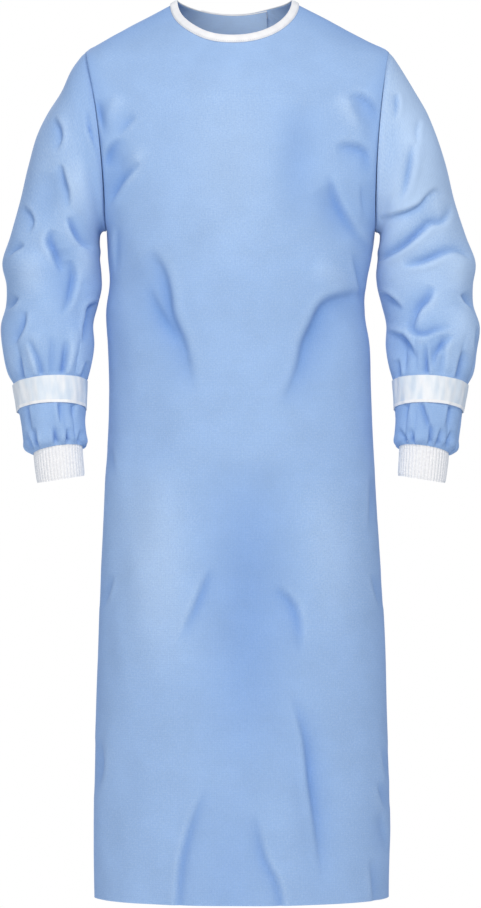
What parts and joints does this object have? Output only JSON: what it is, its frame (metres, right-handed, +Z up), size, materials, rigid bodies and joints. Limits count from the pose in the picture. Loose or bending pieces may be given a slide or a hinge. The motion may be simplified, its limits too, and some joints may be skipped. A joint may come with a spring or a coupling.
{
  "type": "surgical gown",
  "caption": "Long-sleeved light-blue surgical gown, filled out as worn, with white rib-knit cuffs, pale satin sleeve bands and a white-bound neckline.",
  "frame": {"origin": "between the shoulders at the height of the neck points, in the plane of the side seams", "axes": "+Z up along the gown's length, -Y out of its front, +X to the right as seen from the front"},
  "size_m": [0.6702, 0.3075, 1.2554],
  "materials": {
    "blue_cloth": "matte plain weave",
    "satin_band": "satin",
    "rib_knit": "matte rib knit",
    "white_binding": "matte"
  },
  "bodies": {
    "root": {"front_panel": "blue_cloth", "back_left": "blue_cloth", "back_right": "blue_cloth", "sleeve_left": "blue_cloth", "sleeve_right": "blue_cloth", "sleeve_band_left": "satin_band", "sleeve_band_right": "satin_band", "cuff_left": "rib_knit", "cuff_right": "rib_knit", "neck_binding": "white_binding"}
  },
  "joints": []
}
